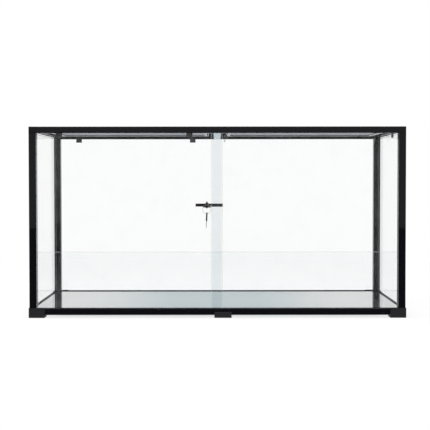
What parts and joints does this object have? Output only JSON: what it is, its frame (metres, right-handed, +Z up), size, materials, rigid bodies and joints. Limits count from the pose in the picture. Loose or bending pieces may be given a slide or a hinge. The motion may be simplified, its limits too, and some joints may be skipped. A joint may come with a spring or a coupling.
{
  "type": "reptile terrarium",
  "caption": "Glass terrarium in a dark extruded frame with two sliding front doors, a ratchet door lock with keys, a low inner barrier and lift-out mesh screens.",
  "frame": {"origin": "centre of the whole object's box, at the plane of the feet's undersides", "axes": "+X to the right seen from the doors, +Y to the back, +Z up"},
  "size_m": [1.2244, 0.6632, 0.619],
  "materials": {
    "frame_metal": "satin black coating",
    "connector_plastic": "fine moulded texture",
    "foot_plastic": "matte moulded",
    "track_plastic": "satin extruded",
    "clear_glass": "polished, tempered",
    "lock_bar_metal": "dark plated",
    "lock_metal": "worn plating",
    "bumper_rubber": "soft matte",
    "plug_metal": "nickel plated",
    "key_metal": "nickel plated",
    "key_plastic": "satin moulded",
    "screen_frame_plastic": "satin moulded",
    "mesh_metal": "galvanised wire",
    "spline_rubber": "matte",
    "clip_plastic": "satin moulded"
  },
  "bodies": {
    "frame": {"bottom_front_rail": "frame_metal", "bottom_back_rail": "frame_metal", "bottom_left_rail": "frame_metal", "bottom_right_rail": "frame_metal", "top_front_rail": "frame_metal", "top_back_rail": "frame_metal", "top_left_rail": "frame_metal", "top_right_rail": "frame_metal", "front_left_post": "frame_metal", "front_right_post": "frame_metal", "back_left_post": "frame_metal", "back_right_post": "frame_metal", "top_crossbar": "frame_metal", "bottom_front_left_connector": "connector_plastic", "bottom_front_right_connector": "connector_plastic", "bottom_back_left_connector": "connector_plastic", "bottom_back_right_connector": "connector_plastic", "top_front_left_connector": "connector_plastic", "top_front_right_connector": "connector_plastic", "top_back_left_connector": "connector_plastic", "top_back_right_connector": "connector_plastic", "front_left_foot": "foot_plastic", "front_right_foot": "foot_plastic", "back_left_foot": "foot_plastic", "back_right_foot": "foot_plastic", "front_middle_foot": "foot_plastic", "back_middle_foot": "foot_plastic", "lower_door_track": "track_plastic", "upper_door_track": "track_plastic", "floor_glass": "clear_glass", "back_glass": "clear_glass", "left_glass": "clear_glass", "right_glass": "clear_glass", "substrate_barrier": "clear_glass"},
    "left_door": {"left_door_glass": "clear_glass", "lock_bar": "lock_bar_metal"},
    "right_door": {"right_door_glass": "clear_glass", "lock_housing": "lock_metal", "lock_bumper": "bumper_rubber"},
    "key": {"lock_plug": "plug_metal", "key_blade": "key_metal", "key_head": "key_plastic"},
    "ring": {"key_ring": "key_metal"},
    "spare_key": {"spare_key_blade": "key_metal", "spare_key_head": "key_plastic"},
    "left_screen": {"left_screen_frame": "screen_frame_plastic", "left_screen_mesh": "mesh_metal", "left_screen_spline": "spline_rubber", "left_screen_clips": "clip_plastic"},
    "right_screen": {"right_screen_frame": "screen_frame_plastic", "right_screen_mesh": "mesh_metal", "right_screen_spline": "spline_rubber", "right_screen_clips": "clip_plastic"}
  },
  "joints": [
    {"name": "left_door_slide", "type": "slide", "parent": "frame", "child": "left_door", "axis": [1, 0, 0], "range_m": [0, 0.56]},
    {"name": "right_door_slide", "type": "slide", "parent": "frame", "child": "right_door", "axis": [1, 0, 0], "range_m": [-0.536, 0]},
    {"name": "key_turn", "type": "hinge", "parent": "right_door", "child": "key", "pos_m": [-0.0337, -0.28105, 0.3665], "axis": [0, 1, 0], "range_deg": [0, 90]},
    {"name": "ring_swing", "type": "hinge", "parent": "key", "child": "ring", "pos_m": [-0.0337, -0.32065, 0.3653], "axis": [1, 0, 0], "range_deg": [-60, 15]},
    {"name": "spare_key_swing", "type": "hinge", "parent": "ring", "child": "spare_key", "pos_m": [-0.0337, -0.32065, 0.3393], "axis": [1, 0, 0], "range_deg": [-60, 10]},
    {"name": "left_screen_lift", "type": "slide", "parent": "frame", "child": "left_screen", "axis": [0, 0, 1], "range_m": [0, 0.06]},
    {"name": "right_screen_lift", "type": "slide", "parent": "frame", "child": "right_screen", "axis": [0, 0, 1], "range_m": [0, 0.06]}
  ]
}
